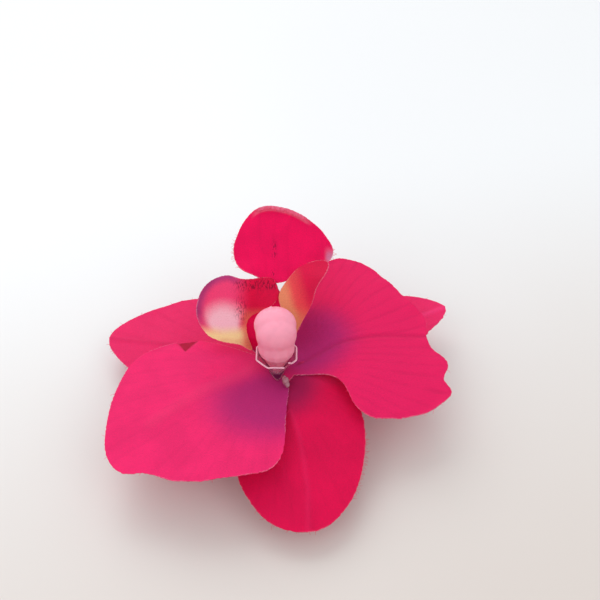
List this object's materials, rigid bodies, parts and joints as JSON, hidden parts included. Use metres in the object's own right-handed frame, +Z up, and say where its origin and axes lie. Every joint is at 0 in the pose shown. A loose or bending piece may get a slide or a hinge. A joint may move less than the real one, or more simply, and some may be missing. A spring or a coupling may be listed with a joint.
{
  "type": "flower hair clip",
  "caption": "Printed cloth orchid bloom with a cupped lip and a round-headed column, glued over a felt disc to a sprung steel alligator hair clip.",
  "frame": {"origin": "on the flat underside of the clip's lower arm, straight below the flower's axis", "axes": "+X along the clip towards the jaw tips, +Y along the hinge pin, +Z up through the flower"},
  "size_m": [0.1051, 0.0869, 0.0429],
  "materials": {
    "clip_steel": "nickel-plated stamped steel",
    "spring_steel": "drawn wire",
    "hot_glue": "clear hot-melt glue",
    "felt": "pressed felt",
    "calyx_plastic": "moulded polyethylene",
    "sepal_cloth": "starched printed polyester cloth",
    "petal_cloth": "starched printed polyester cloth",
    "lip_cloth": "starched printed polyester cloth",
    "clear_collar": "clear tinted moulding",
    "column_plastic": "translucent pink polyethylene"
  },
  "bodies": {
    "flower": {"clip_upper_arm": "clip_steel", "hinge_pin": "clip_steel", "torsion_spring": "spring_steel", "clip_glue": "hot_glue", "felt_disc": "felt", "glue_pad": "hot_glue", "calyx_cup": "calyx_plastic", "sepals": "sepal_cloth", "petals": "petal_cloth", "lip": "lip_cloth", "column_cup": "clear_collar", "column": "column_plastic", "glue_dab": "hot_glue"},
    "lower_jaw": {"clip_lower_arm": "clip_steel"}
  },
  "joints": [
    {"name": "jaw_open", "type": "hinge", "parent": "flower", "child": "lower_jaw", "pos_m": [-0.013, 0, 0.0029], "axis": [0, 1, 0], "range_deg": [0, 30], "stiffness_Nm_per_rad": 0.05, "springref_deg": -68.75, "deforming": ["torsion_spring"]}
  ]
}
